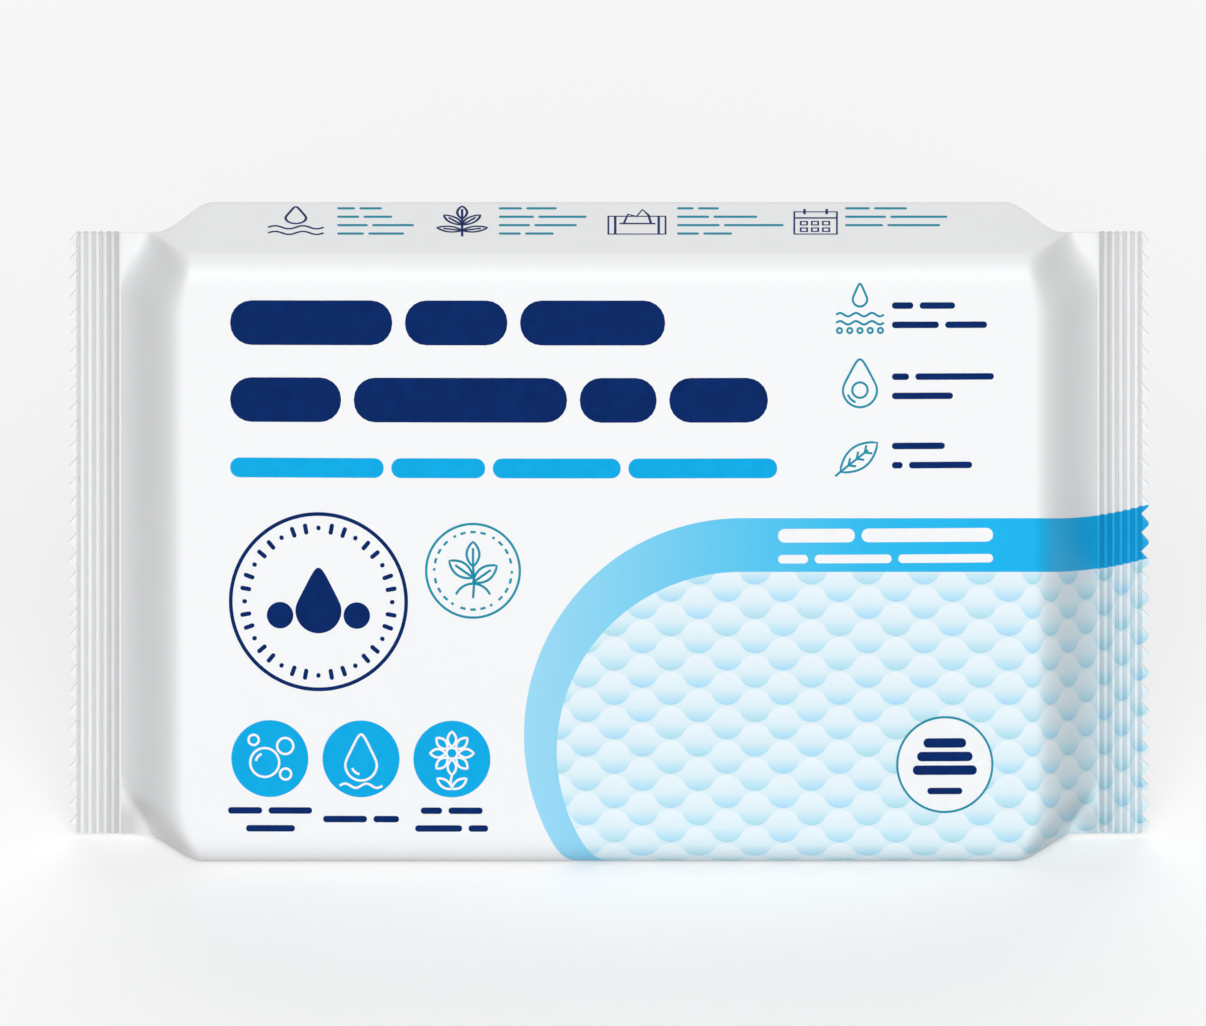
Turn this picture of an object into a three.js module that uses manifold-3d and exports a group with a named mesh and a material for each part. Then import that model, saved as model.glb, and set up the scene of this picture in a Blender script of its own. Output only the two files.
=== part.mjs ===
// Wet wipes pack: a sealed flow-wrap of printed film round a stack of folded moist wipes.
// It stands on its lower long side. X runs along its length, -Y is its front and +Z is up.
// The origin lies under its middle, at the height of its lower side. Sizes are in millimetres.
import * as THREE from "three";
import { mergeVertices } from "three/addons/utils/BufferGeometryUtils.js";
import Module from "manifold-3d";

const { clamp, lerp, smoothstep } = THREE.MathUtils;

// Driving dimensions of the filled body
const PACK_LENGTH = 253; // over the teeth of both end seals
const PACK_HEIGHT = 152; // lower long side to upper long side
const PACK_DEPTH = 47; // front panel to back panel, at the middle
const LOWER_RADIUS = 8; // long edges that the pack stands on
const UPPER_RADIUS = 5.5; // long edges of the upper side
const PANEL_CROWN = 1.2; // how far the filled panels swell past their own edges

// Driving dimensions of the end that tapers to a seal
const END_REACH = 15; // flat panel's end to the root of the seal
const ROOT_SLOPE = 0.8; // slope at which the taper meets the seal, 1 for its mean slope
const EDGE_FADE = 14; // height over which the pulls below fade out, and that slope too at the top
// Along the long edges the taper starts and ends sooner than at mid-height, by [start, end]
const LOWER_PULL = [4.2, 6.5];
const UPPER_FRONT_PULL = [1.5, 5];
const UPPER_BACK_PULL = [7.2, 8.5];
const WEB_THICKNESS = 0.5; // the layers of film where they meet before the seal

// Driving dimensions of the crimped end seals
const SEAL_WIDTH = 12;
const SEAL_HEIGHT = 150;
const SEAL_THICKNESS = 0.6;
const GROOVE_COUNT = 6;
const GROOVE_PITCH = 1.79;
const GROOVE_DEPTH = 0.6;
const GROOVE_SHARPNESS = 1.6; // above 1 the ridges are wider than the grooves
const FIRST_GROOVE = 2; // tips of the teeth to the middle of the outer groove
const TOOTH_COUNT = 32;
const TOOTH_DEPTH = 1.75;
const TOOTH_TIP = 0.7; // blunt width at the end of a tooth

// Driving dimensions of the long seal that is folded down on the back
const FIN_SEAM = 80; // height of the line that it is folded along
const FIN_WIDTH = 12;
const FIN_THICKNESS = 0.6;
const FIN_EDGE = 0.3; // height of its cut lower edge
const FIN_BLEND = 4; // film that slopes up to it from above
const FIN_FADE = 5; // length over which it is pressed flat next to an end seal

// Fineness of the faceted surface
const FLAT_STEPS = 6;
const ARC_STEPS = 5;
const EDGE_STEPS = 4;
const PANEL_STEPS = 4;
const BODY_STEPS = 3;
const END_STEPS = 14;
const GROOVE_STEPS = 6;

// Allowances where solids are joined or cut
const SEAL_LAP = 0.4; // body film that runs on inside the seal
const CUT_MARGIN = 2; // how far a cutter stands outside what it cuts

// Sizes that follow
const HALF_DEPTH = PACK_DEPTH / 2;
const HALF_HEIGHT = PACK_HEIGHT / 2;
const SEAL_TIP = PACK_LENGTH / 2;
const SEAL_ROOT = SEAL_TIP - SEAL_WIDTH;
const PANEL_END = SEAL_ROOT - END_REACH;
const TAPER_START = PANEL_END - Math.max(LOWER_PULL[0], UPPER_FRONT_PULL[0], UPPER_BACK_PULL[0]);

const wasm = await Module();
wasm.setup();

// A closed geometry as a solid, and back.
function toSolid(geometry) {
  const bare = geometry.index ? geometry.toNonIndexed() : geometry.clone();
  bare.deleteAttribute("normal");
  bare.deleteAttribute("uv");
  const merged = mergeVertices(bare, 1e-4);
  const vertProperties = new Float32Array(merged.attributes.position.array);
  const triVerts = new Uint32Array(merged.index.array);
  return new wasm.Manifold(new wasm.Mesh({ numProp: 3, vertProperties, triVerts }));
}

function toGeometry(solid) {
  const mesh = solid.getMesh();
  const geometry = new THREE.BufferGeometry();
  geometry.setAttribute("position", new THREE.BufferAttribute(mesh.vertProperties, 3));
  geometry.setIndex(new THREE.BufferAttribute(mesh.triVerts, 1));
  return geometry;
}

// A skin over loops of points that each run anticlockwise as seen from +X, from -X to +X.
function loft(loops) {
  const corners = [];
  const triangle = (a, b, c) => corners.push(...a, ...b, ...c);
  const count = loops[0].length;
  const middleOf = (loop) => loop
    .reduce((sum, p) => sum.map((v, i) => v + p[i]), [0, 0, 0])
    .map((v) => v / count);
  for (let i = 0; i < count; i++) {
    const j = (i + 1) % count;
    for (let k = 0; k + 1 < loops.length; k++) {
      const near = loops[k];
      const far = loops[k + 1];
      triangle(near[i], near[j], far[j]);
      triangle(near[i], far[j], far[i]);
    }
    const first = loops[0];
    const last = loops[loops.length - 1];
    triangle(middleOf(first), first[j], first[i]);
    triangle(middleOf(last), last[i], last[j]);
  }
  const geometry = new THREE.BufferGeometry();
  geometry.setAttribute("position", new THREE.Float32BufferAttribute(corners, 3));
  return geometry;
}

// Share of the fall at a share of the taper's length: level at first, then at a slope to its end.
function taperFall(share, endSlope) {
  return share ** 2 * (3 - endSlope - (2 - endSlope) * share);
}

// Share of its depth that the body keeps: all of it over the panels, next to none at the seals.
// Across the depth it goes by y, which runs from the front panel to the back panel.
function keptDepth(x, y, z) {
  const fromEdge = Math.min(z, PACK_HEIGHT - z);
  const nearEdge = 1 - smoothstep(fromEdge, 0, EDGE_FADE);
  const across = clamp(0.5 + y / PACK_DEPTH, 0, 1);
  const upperPull = UPPER_FRONT_PULL.map((pull, i) => lerp(pull, UPPER_BACK_PULL[i], across));
  const [startPull, endPull] = z < HALF_HEIGHT ? LOWER_PULL : upperPull;
  const start = PANEL_END - startPull * nearEdge;
  const end = SEAL_ROOT - endPull * nearEdge;
  const share = clamp((Math.abs(x) - start) / (end - start), 0, 1);
  const endSlope = ROOT_SLOPE * (z < HALF_HEIGHT ? 1 : 1 - nearEdge);
  return 1 - taperFall(share, endSlope) * (1 - WEB_THICKNESS / PACK_DEPTH);
}

// Share of its swell that a panel keeps towards its four edges.
function crownAt(x, z) {
  const along = clamp(Math.abs(x) / PANEL_END, 0, 1);
  const up = (z - HALF_HEIGHT) / HALF_HEIGHT;
  return (1 - along ** 2) * (1 - up ** 2);
}

// How far the folded long seal stands off the back.
function finRise(x, z) {
  const pressed = 1 - smoothstep(Math.abs(x), SEAL_ROOT - FIN_FADE, SEAL_ROOT);
  const low = FIN_SEAM - FIN_WIDTH;
  const lowerEdge = clamp((z - low + FIN_EDGE) / FIN_EDGE, 0, 1);
  const upperSlope = clamp((FIN_SEAM + FIN_BLEND - z) / FIN_BLEND, 0, 1);
  return FIN_THICKNESS * pressed * Math.min(lowerEdge, upperSlope);
}

// Points on a line or an arc in the plane of a section, without the last one.
function line(from, to, steps) {
  return Array.from({ length: steps }, (_, i) => [
    lerp(from[0], to[0], i / steps),
    lerp(from[1], to[1], i / steps),
  ]);
}

function arc(centre, radius, quarter) {
  return Array.from({ length: ARC_STEPS }, (_, i) => {
    const angle = (quarter + i / ARC_STEPS) * (Math.PI / 2);
    return [centre[0] + radius * Math.cos(angle), centre[1] + radius * Math.sin(angle)];
  });
}

// The body's section before it tapers, as [y, z], anticlockwise as seen from +X.
function bodySection() {
  const low = LOWER_RADIUS;
  const high = PACK_HEIGHT - UPPER_RADIUS;
  const lowBand = low + EDGE_FADE;
  const highBand = high - EDGE_FADE;
  const lowHalf = HALF_DEPTH - LOWER_RADIUS;
  const highHalf = HALF_DEPTH - UPPER_RADIUS;
  const finLow = FIN_SEAM - FIN_WIDTH;
  const rise = (y, marks) =>
    marks.flatMap(([from, to, steps]) => line([y, from], [y, to], steps));
  return [
    ...line([-lowHalf, 0], [lowHalf, 0], FLAT_STEPS),
    ...arc([lowHalf, low], LOWER_RADIUS, 3),
    ...rise(HALF_DEPTH, [
      [low, lowBand, EDGE_STEPS],
      [lowBand, finLow - FIN_EDGE, 2],
      [finLow - FIN_EDGE, finLow, 1],
      [finLow, FIN_SEAM, 1],
      [FIN_SEAM, FIN_SEAM + FIN_BLEND, 1],
      [FIN_SEAM + FIN_BLEND, highBand, 2],
      [highBand, high, EDGE_STEPS],
    ]),
    ...arc([highHalf, high], UPPER_RADIUS, 0),
    ...line([highHalf, PACK_HEIGHT], [-highHalf, PACK_HEIGHT], FLAT_STEPS),
    ...arc([-highHalf, high], UPPER_RADIUS, 1),
    ...rise(-HALF_DEPTH, [
      [high, highBand, EDGE_STEPS],
      [highBand, lowBand, PANEL_STEPS],
      [lowBand, low, EDGE_STEPS],
    ]),
    ...arc([-lowHalf, low], LOWER_RADIUS, 2),
  ];
}

// A point of the section carried to its place at a distance along X.
function bodyPoint(x, [y, z]) {
  const kept = keptDepth(x, y, z);
  const swell = 1 - (PANEL_CROWN / HALF_DEPTH) * (1 - crownAt(x, z));
  const fin = y > HALF_DEPTH - FIN_EDGE ? finRise(x, z) : 0;
  const shortening = 1 - (1 - SEAL_HEIGHT / PACK_HEIGHT) * (1 - kept);
  return [x, y * kept * swell + fin, HALF_HEIGHT + (z - HALF_HEIGHT) * shortening];
}

function bodySolid() {
  const half = [
    ...line([0, 0], [TAPER_START, 0], BODY_STEPS),
    ...line([TAPER_START, 0], [SEAL_ROOT, 0], END_STEPS),
    [SEAL_ROOT, 0],
    [SEAL_ROOT + SEAL_LAP, 0],
  ].map(([x]) => x);
  const stations = [...half.slice(1).reverse().map((x) => -x), ...half];
  const section = bodySection();
  return toSolid(loft(stations.map((x) => section.map((point) => bodyPoint(x, point)))));
}

// Offset of the crimp from the middle of the seal: grooves in the front are ridges on the back.
function crimpAt(fromTip) {
  const turn = (fromTip - FIRST_GROOVE) / GROOVE_PITCH;
  if (turn < -0.5 || turn > GROOVE_COUNT - 0.5) return 0;
  return GROOVE_DEPTH * (0.5 + 0.5 * Math.cos(2 * Math.PI * turn)) ** GROOVE_SHARPNESS;
}

// The crimped plate at the +X end, upright, with its toothed edge.
function sealSolid() {
  const grooveStart = FIRST_GROOVE - GROOVE_PITCH / 2;
  const grooveEnd = grooveStart + GROOVE_COUNT * GROOVE_PITCH;
  const ridges = line([grooveStart, 0], [grooveEnd, 0], GROOVE_COUNT * GROOVE_STEPS);
  const marks = [0, ...ridges.map(([fromTip]) => fromTip), grooveEnd, SEAL_WIDTH];
  const edgeOf = (side) => marks.map(
    (fromTip) => new THREE.Vector2(
      SEAL_TIP - fromTip,
      crimpAt(fromTip) + side * SEAL_THICKNESS / 2,
    ),
  );
  const outline = new THREE.Shape([...edgeOf(1), ...edgeOf(-1).reverse()]);
  const plate = new THREE.ExtrudeGeometry(outline, { depth: SEAL_HEIGHT, bevelEnabled: false });
  plate.translate(0, 0, HALF_HEIGHT - SEAL_HEIGHT / 2);
  return toSolid(plate).intersect(toothedBlock());
}

// A block that leaves the plate's end cut to teeth.
function toothedBlock() {
  const pitch = SEAL_HEIGHT / TOOTH_COUNT;
  const bottom = HALF_HEIGHT - SEAL_HEIGHT / 2;
  const outline = new THREE.Shape();
  outline.moveTo(SEAL_ROOT - CUT_MARGIN, bottom - CUT_MARGIN);
  outline.lineTo(SEAL_TIP - TOOTH_DEPTH, bottom - CUT_MARGIN);
  for (let i = 0; i < TOOTH_COUNT; i++) {
    const foot = bottom + i * pitch;
    const middle = foot + pitch / 2;
    outline.lineTo(SEAL_TIP - TOOTH_DEPTH, foot);
    outline.lineTo(SEAL_TIP, middle - TOOTH_TIP / 2);
    outline.lineTo(SEAL_TIP, middle + TOOTH_TIP / 2);
  }
  outline.lineTo(SEAL_TIP - TOOTH_DEPTH, bottom + SEAL_HEIGHT);
  outline.lineTo(SEAL_TIP - TOOTH_DEPTH, bottom + SEAL_HEIGHT + CUT_MARGIN);
  outline.lineTo(SEAL_ROOT - CUT_MARGIN, bottom + SEAL_HEIGHT + CUT_MARGIN);
  const depth = SEAL_THICKNESS + 2 * (GROOVE_DEPTH + CUT_MARGIN);
  const block = new THREE.ExtrudeGeometry(outline, { depth, bevelEnabled: false });
  block.rotateX(Math.PI / 2);
  block.translate(0, depth / 2, 0);
  return toSolid(block);
}

function wipesPack() {
  const seal = sealSolid();
  let pack = bodySolid();
  for (const end of [1, -1]) {
    pack = pack.add(end > 0 ? seal : seal.mirror([1, 0, 0]));
  }
  const film = new THREE.MeshStandardMaterial({ color: 0xf4f5f6, roughness: 0.45, metalness: 0 });
  const mesh = new THREE.Mesh(toGeometry(pack), film);
  mesh.name = "wipes_pack";
  return mesh;
}

const part = new THREE.Group();
part.add(wipesPack());

export default part;
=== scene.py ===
# The looks of a sealed wet wipes pack: satin white film with crimped ends and a printed front.
# Lengths in the values below are millimetres, and metres once they reach a mesh.
import bmesh
import bpy
import math
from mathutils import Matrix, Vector


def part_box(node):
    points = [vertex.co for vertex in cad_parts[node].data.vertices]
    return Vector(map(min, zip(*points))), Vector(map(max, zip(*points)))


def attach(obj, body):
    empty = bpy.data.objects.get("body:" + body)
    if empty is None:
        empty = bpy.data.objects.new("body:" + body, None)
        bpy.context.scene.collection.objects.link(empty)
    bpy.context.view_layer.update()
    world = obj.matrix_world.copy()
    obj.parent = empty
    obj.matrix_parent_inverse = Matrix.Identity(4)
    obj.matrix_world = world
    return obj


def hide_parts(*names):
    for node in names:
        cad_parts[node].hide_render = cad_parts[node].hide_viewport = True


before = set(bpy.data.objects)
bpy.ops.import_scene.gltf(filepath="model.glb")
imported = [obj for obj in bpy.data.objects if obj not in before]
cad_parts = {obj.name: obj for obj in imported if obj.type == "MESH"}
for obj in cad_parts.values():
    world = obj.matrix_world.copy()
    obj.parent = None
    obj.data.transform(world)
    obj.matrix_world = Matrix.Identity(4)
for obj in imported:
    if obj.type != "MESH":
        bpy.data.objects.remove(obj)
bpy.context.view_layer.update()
MM = 0.001

# The pack's own sizes, from the frame and as in the part's source
pack_low, pack_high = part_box("wipes_pack")
PACK_LENGTH = (pack_high.x - pack_low.x) / MM
PACK_HEIGHT = (pack_high.z - pack_low.z) / MM
HALF_DEPTH = -pack_low.y / MM
LOWER_RADIUS = 8
UPPER_RADIUS = 5.5
PANEL_CROWN = 1.2
END_REACH = 15
ROOT_SLOPE = 0.8  # how steeply the taper still falls where it meets the seal
EDGE_FADE = 14  # height over which the pulls below fade out
LOWER_PULL = (4.2, 6.5)  # how much sooner the taper starts and ends along the long edges
UPPER_FRONT_PULL = (1.5, 5)
UPPER_BACK_PULL = (7.2, 8.5)
WEB_THICKNESS = 0.5
SEAL_WIDTH = 12
SEAL_HEIGHT = 150
SEAL_THICKNESS = 0.6
SEAL_LAP = 0.4
GROOVE_COUNT = 6
GROOVE_PITCH = 1.79
GROOVE_DEPTH = 0.6
GROOVE_SHARPNESS = 1.6
FIRST_GROOVE = 2
TOOTH_COUNT = 32
TOOTH_DEPTH = 1.75
TOOTH_TIP = 0.7
FIN_SEAM = 80
FIN_WIDTH = 12
FIN_THICKNESS = 0.6
FIN_EDGE = 0.3
FIN_BLEND = 4
FIN_FADE = 5
HALF_HEIGHT = PACK_HEIGHT / 2
SEAL_TIP = PACK_LENGTH / 2
SEAL_ROOT = SEAL_TIP - SEAL_WIDTH
PANEL_END = SEAL_ROOT - END_REACH
TAPER_START = PANEL_END - max(LOWER_PULL[0], UPPER_FRONT_PULL[0], UPPER_BACK_PULL[0])

# How the photograph looks at the pack: a parallel view from a little above, straight on
PHOTO_WIDTH = 1206
PHOTO_HEIGHT = 1026
PIXELS_PER_MM = 4.264
VIEW_DOWN = math.radians(20)
PACK_MIDDLE_PIXEL = 609.25
FLOOR_PIXEL = 871.6  # where the front panel's plane meets the floor

# The print is drawn flat, in millimetres, and stands a little taller on the film than drawn
PRINT_RISE = 1 / math.cos(VIEW_DOWN)
TOP_PRINT_RISE = 1.6
INK_HEIGHT = 0.05  # thicker than real ink, so that the film never shows through it
INK_STEP = 0.07  # each ink over another lies this much further out

# Faces that meet at a lesser angle, in degrees, are shaded as one
FILM_SMOOTHING = 40
CRIMP_SMOOTHING = 50
INK_SMOOTHING = 50


def linear(code):
    """An sRGB hex colour as linear RGBA."""
    parts = [int(code[i:i + 2], 16) / 255 for i in (1, 3, 5)]
    parts = [p / 12.92 if p <= 0.04045 else ((p + 0.055) / 1.055) ** 2.4 for p in parts]
    return (*parts, 1)


def smoothstep(value, low, high):
    """Nought up to low and one from high on, with a smooth rise between."""
    share = min(max((value - low) / (high - low), 0), 1)
    return share * share * (3 - 2 * share)


def add(tree, kind, inputs=None, **settings):
    """Adds a node with its settings, and its inputs as numbers, nodes or sockets."""
    node = tree.nodes.new("ShaderNode" + kind)
    for name, value in settings.items():
        setattr(node, name, value)
    for name, value in (inputs or {}).items():
        if isinstance(value, bpy.types.Node):
            value = value.outputs[0]
        if isinstance(value, bpy.types.NodeSocket):
            tree.links.new(value, node.inputs[name])
        else:
            node.inputs[name].default_value = value
    return node


def ramp_stops(node, stops):
    """Gives a colour ramp its stops, as (position, hex colour or brightness)."""
    ramp = node.color_ramp
    while len(ramp.elements) < len(stops):
        ramp.elements.new(0.5)
    for element, (position, tone) in zip(ramp.elements, stops):
        element.position = position
        element.color = linear(tone) if isinstance(tone, str) else (tone, tone, tone, 1)


def new_material(name):
    """An empty material and its node tree."""
    material = bpy.data.materials.new(name)
    material.use_nodes = True
    material.node_tree.nodes.clear()
    return material, material.node_tree


# The form of the film

def kept_depth(x, y, z):
    """Share of its depth that the body keeps: all over the panels, next to none at the seals."""
    near_edge = 1 - smoothstep(min(z, PACK_HEIGHT - z), 0, EDGE_FADE)
    across = min(max(0.5 + y / (2 * HALF_DEPTH), 0), 1)
    upper_pull = [a + (b - a) * across for a, b in zip(UPPER_FRONT_PULL, UPPER_BACK_PULL)]
    start_pull, end_pull = LOWER_PULL if z < HALF_HEIGHT else upper_pull
    start = PANEL_END - start_pull * near_edge
    end = SEAL_ROOT - end_pull * near_edge
    share = min(max((abs(x) - start) / (end - start), 0), 1)
    end_slope = ROOT_SLOPE * (1 if z < HALF_HEIGHT else 1 - near_edge)
    fall = share ** 2 * (3 - end_slope - (2 - end_slope) * share)
    return 1 - fall * (1 - WEB_THICKNESS / (2 * HALF_DEPTH))


def crown_at(x, z):
    """How full the panels are: one in their middle and nought at their edges."""
    along = min(abs(x) / PANEL_END, 1)
    up = (z - HALF_HEIGHT) / HALF_HEIGHT
    return (1 - along ** 2) * (1 - up ** 2)


def fin_rise(x, z):
    """How far the folded long seal stands off the back."""
    pressed = 1 - smoothstep(abs(x), SEAL_ROOT - FIN_FADE, SEAL_ROOT)
    lower_edge = min(max((z - (FIN_SEAM - FIN_WIDTH) + FIN_EDGE) / FIN_EDGE, 0), 1)
    upper_slope = min(max((FIN_SEAM + FIN_BLEND - z) / FIN_BLEND, 0), 1)
    return FIN_THICKNESS * pressed * min(lower_edge, upper_slope)


def body_point(x, y, z):
    """A point of the body's full section carried to its place at a distance along X."""
    kept = kept_depth(x, y, z)
    swell = 1 - (PANEL_CROWN / HALF_DEPTH) * (1 - crown_at(x, z))
    fin = fin_rise(x, z) if y >= HALF_DEPTH else 0
    shortening = 1 - (1 - SEAL_HEIGHT / PACK_HEIGHT) * (1 - kept)
    height = HALF_HEIGHT + (z - HALF_HEIGHT) * shortening
    return Vector((x, y * kept * swell + fin, height))


def line(start, end, steps):
    """Points from start towards end, without the last one."""
    return [tuple(a + (b - a) * i / steps for a, b in zip(start, end)) for i in range(steps)]


def arc(centre, radius, quarter, steps=8):
    """A quarter of a circle in the section, clockwise, without its last point."""
    turns = [(quarter - i / steps) * math.pi / 2 for i in range(steps)]
    return [(centre[0] + radius * math.cos(t), centre[1] + radius * math.sin(t)) for t in turns]


def section_path():
    """The film's way round the pack as (y, z), from the folded seal's edge down the back."""
    low, high = LOWER_RADIUS, PACK_HEIGHT - UPPER_RADIUS
    low_half, high_half = HALF_DEPTH - LOWER_RADIUS, HALF_DEPTH - UPPER_RADIUS
    fin_low = FIN_SEAM - FIN_WIDTH
    back, front = HALF_DEPTH, -HALF_DEPTH
    return [
        *line((back, fin_low - FIN_EDGE), (back, low), 24),
        *arc((low_half, low), LOWER_RADIUS, 0),
        *line((low_half, 0), (-low_half, 0), 18),
        *arc((-low_half, low), LOWER_RADIUS, 3),
        *line((front, low), (front, high), 60),
        *arc((-high_half, high), UPPER_RADIUS, 2),
        *line((-high_half, PACK_HEIGHT), (high_half, PACK_HEIGHT), 24),
        *arc((high_half, high), UPPER_RADIUS, 1),
        *line((back, high), (back, FIN_SEAM + FIN_BLEND), 24),
        *line((back, FIN_SEAM + FIN_BLEND), (back, FIN_SEAM), 2),
        *line((back, FIN_SEAM), (back, fin_low), 4),
        (back, fin_low),
        (back, fin_low - FIN_EDGE),
    ]


def stations_along():
    """The places along the pack of the film's rows of points, closer together over the taper."""
    half = [
        *line((0,), (TAPER_START,), 18),
        *line((TAPER_START,), (SEAL_ROOT,), 44),
        (SEAL_ROOT,),
        (SEAL_ROOT + SEAL_LAP,),
    ]
    half = [x for x, in half]
    return [-x for x in reversed(half[1:])] + half


# The print is laid out so that it runs level to the ends in the photograph's view
GATHER_START = 97.5  # from here on the print is drawn together along the pack
GATHER = 1.57  # film taken up for each length of taper or seal


def print_along(x):
    """Place on the print along the pack."""
    return x + math.copysign((GATHER - 1) * max(abs(x) - GATHER_START, 0), x)


def print_drop(x, z):
    """How much lower the print lies where the front falls back from its own plane."""
    return (body_point(x, -HALF_DEPTH, z).y + HALF_DEPTH) * math.tan(VIEW_DOWN)


def sheet_from_grid(name, rows, columns, place, film):
    """A flat grid carried to its place point by point. film gives each its place on the print."""
    bpy.ops.object.select_all(action="DESELECT")
    bpy.ops.mesh.primitive_grid_add(x_subdivisions=rows - 1, y_subdivisions=columns - 1, size=1)
    piece = bpy.context.active_object
    piece.name = piece.data.name = name
    spots = [(round((v.co.x + 0.5) * (rows - 1)), round((v.co.y + 0.5) * (columns - 1)))
             for v in piece.data.vertices]
    for vertex, (i, j) in zip(piece.data.vertices, spots):
        vertex.co = place(i, j) * MM
    layer = piece.data.uv_layers[0]
    layer.name = "film"
    for loop, uv in zip(piece.data.loops, layer.uv):
        uv.vector = film(*spots[loop.vertex_index])
    return piece


def close_up(piece, smoothing):
    """Joins a wrapped grid along its seam, caps its open ends and turns its faces out."""
    bpy.ops.object.mode_set(mode="EDIT")
    bpy.ops.mesh.select_all(action="SELECT")
    bpy.ops.mesh.remove_doubles(threshold=1e-7)
    bpy.ops.mesh.select_all(action="DESELECT")
    bpy.ops.mesh.select_non_manifold(extend=False)
    bpy.ops.mesh.fill_holes(sides=0)
    bpy.ops.mesh.select_all(action="SELECT")
    bpy.ops.mesh.normals_make_consistent(inside=False)
    bpy.ops.object.mode_set(mode="OBJECT")
    bpy.ops.object.shade_smooth_by_angle(angle=math.radians(smoothing))


def make_film_wrapper():
    """The film round the stack: a flat web, formed to a tube and pinched at both ends."""
    path = section_path()
    stations = stations_along()
    girth = [0]
    for a, b in zip(path, path[1:]):
        girth.append(girth[-1] + math.dist(a, b))
    panel_foot = path.index((-HALF_DEPTH, LOWER_RADIUS))
    girth = [g - girth[panel_foot] + LOWER_RADIUS for g in girth]
    piece = sheet_from_grid(
        "film_wrapper", len(stations), len(path),
        lambda i, j: body_point(stations[i], *path[j]),
        lambda i, j: (print_along(stations[i]), girth[j] + print_drop(stations[i], path[j][1])),
    )
    close_up(piece, FILM_SMOOTHING)
    return piece


def crimp_at(from_tip):
    """Offset of the crimp from the seal's middle: grooves in the front are ridges on the back."""
    turn = (from_tip - FIRST_GROOVE) / GROOVE_PITCH
    if turn < -0.5 or turn > GROOVE_COUNT - 0.5:
        return 0
    return GROOVE_DEPTH * (0.5 + 0.5 * math.cos(2 * math.pi * turn)) ** GROOVE_SHARPNESS


GROOVE_STEPS = 12  # rows of points over one groove


def make_end_seal(name, end):
    """A crimped plate with its edge cut to teeth, at the -X or +X end."""
    groove_start = FIRST_GROOVE - GROOVE_PITCH / 2
    groove_end = groove_start + GROOVE_COUNT * GROOVE_PITCH
    marks = [m for m, in [
        *line((0,), (groove_start,), 4),
        *line((groove_start,), (groove_end,), GROOVE_COUNT * GROOVE_STEPS),
        (groove_end,),
        (SEAL_WIDTH,),
    ]]
    loop = [(mark, -1) for mark in reversed(marks)] + [(mark, 1) for mark in marks]
    loop.append(loop[0])
    pitch = SEAL_HEIGHT / TOOTH_COUNT
    bottom = HALF_HEIGHT - SEAL_HEIGHT / 2
    levels = []
    for i in range(TOOTH_COUNT):
        foot = bottom + i * pitch
        levels.append((foot, TOOTH_DEPTH))
        levels.append((foot + pitch / 2 - TOOTH_TIP / 2, 0))
        levels.append((foot + pitch / 2 + TOOTH_TIP / 2, 0))
    levels.append((bottom + SEAL_HEIGHT, TOOTH_DEPTH))

    def from_tip(i, j):
        mark, cut = loop[j][0], levels[i][1]
        return mark if mark > FIRST_GROOVE else cut + mark * (1 - cut / FIRST_GROOVE)

    def place(i, j):
        inward = from_tip(i, j)
        across = crimp_at(inward) + loop[j][1] * SEAL_THICKNESS / 2
        return Vector((end * (SEAL_TIP - inward), across, levels[i][0]))

    def film(i, j):
        height = levels[i][0]
        on_front = height + HALF_DEPTH * math.tan(VIEW_DOWN)
        on_back = 2 * PACK_HEIGHT + 2 * HALF_DEPTH - height
        along = print_along(end * (SEAL_TIP - from_tip(i, j)))
        return along, on_front if loop[j][1] < 0 else on_back

    piece = sheet_from_grid(name, len(levels), len(loop), place, film)
    close_up(piece, CRIMP_SMOOTHING)
    return piece


# Materials

# The stripe runs between two edges. Each is level on the right and half an ellipse on the left.
STRIPE_TURN = 31  # where the level part begins
STRIPE_OUTER = (51, 54.2, 34)  # the ellipse's reach to the left, its rise and its middle's height
STRIPE_INNER = (43.3, 44.8, 30)
STRIPE_HEIGHT = 75
STRIPE_LIFT_START = 108  # from here on the print climbs towards the right seal
STRIPE_LIFT = 0.0029  # climb at the stripe's height, for each square millimetre past that start
# Colour of the stripe by place along the pack. Its last stop, darker at the right seal, holds
# painted shade.
STRIPE_INK = [(-20, "#9CD9F3"), (-8, "#90D5F2"), (2, "#83D2F1"), (17, "#6ECBF0"),
              (35, "#53C5EF"), (60, "#26BAED"), (92, "#03B4EE"), (147, "#07A6E2")]
BUBBLE_COLUMNS = 6.61  # from one column of bubbles to the next
BUBBLE_ROWS = 8.07
BUBBLE_RADIUS = 3.87
BUBBLE_START = (34.2, 71.2)
BUBBLE_FIELD = "#DDF0F7"
# Colour of a bubble from its top down, and the two blends of blue and green that end it
BUBBLE_TOP = [(0, "#ECF6FB"), (0.3, "#E6F3FA"), (0.56, BUBBLE_FIELD), (0.7, "#CDEAF6")]
BUBBLE_FEET = (("#B9E4FA", "#A9DAF5"), ("#BDE7F0", "#ACDCE8"))
FILM_WHITE = "#F5F6F7"
FILM_RIPPLE = 14  # width of a wave where the film lies slack on the cloths
FILM_GRAIN = 0.8  # coarser than the real grain of a tenth of this, so that it shows
INK_MOTTLE = 3  # width of a patch where the ink lies a little thicker
GROOVE_PAINTED_SHADE = 0.8  # brightness left by the painted shade in the grooves, where two films are fused
GROOVE_SHADE = (-0.5, 0.6)  # the painted groove shade sets in between these heights of the groove's wave
PAINTED_SHADE_REACH = 27  # reach of the painted shade: from the tips of the teeth to where the cloths begin
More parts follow.
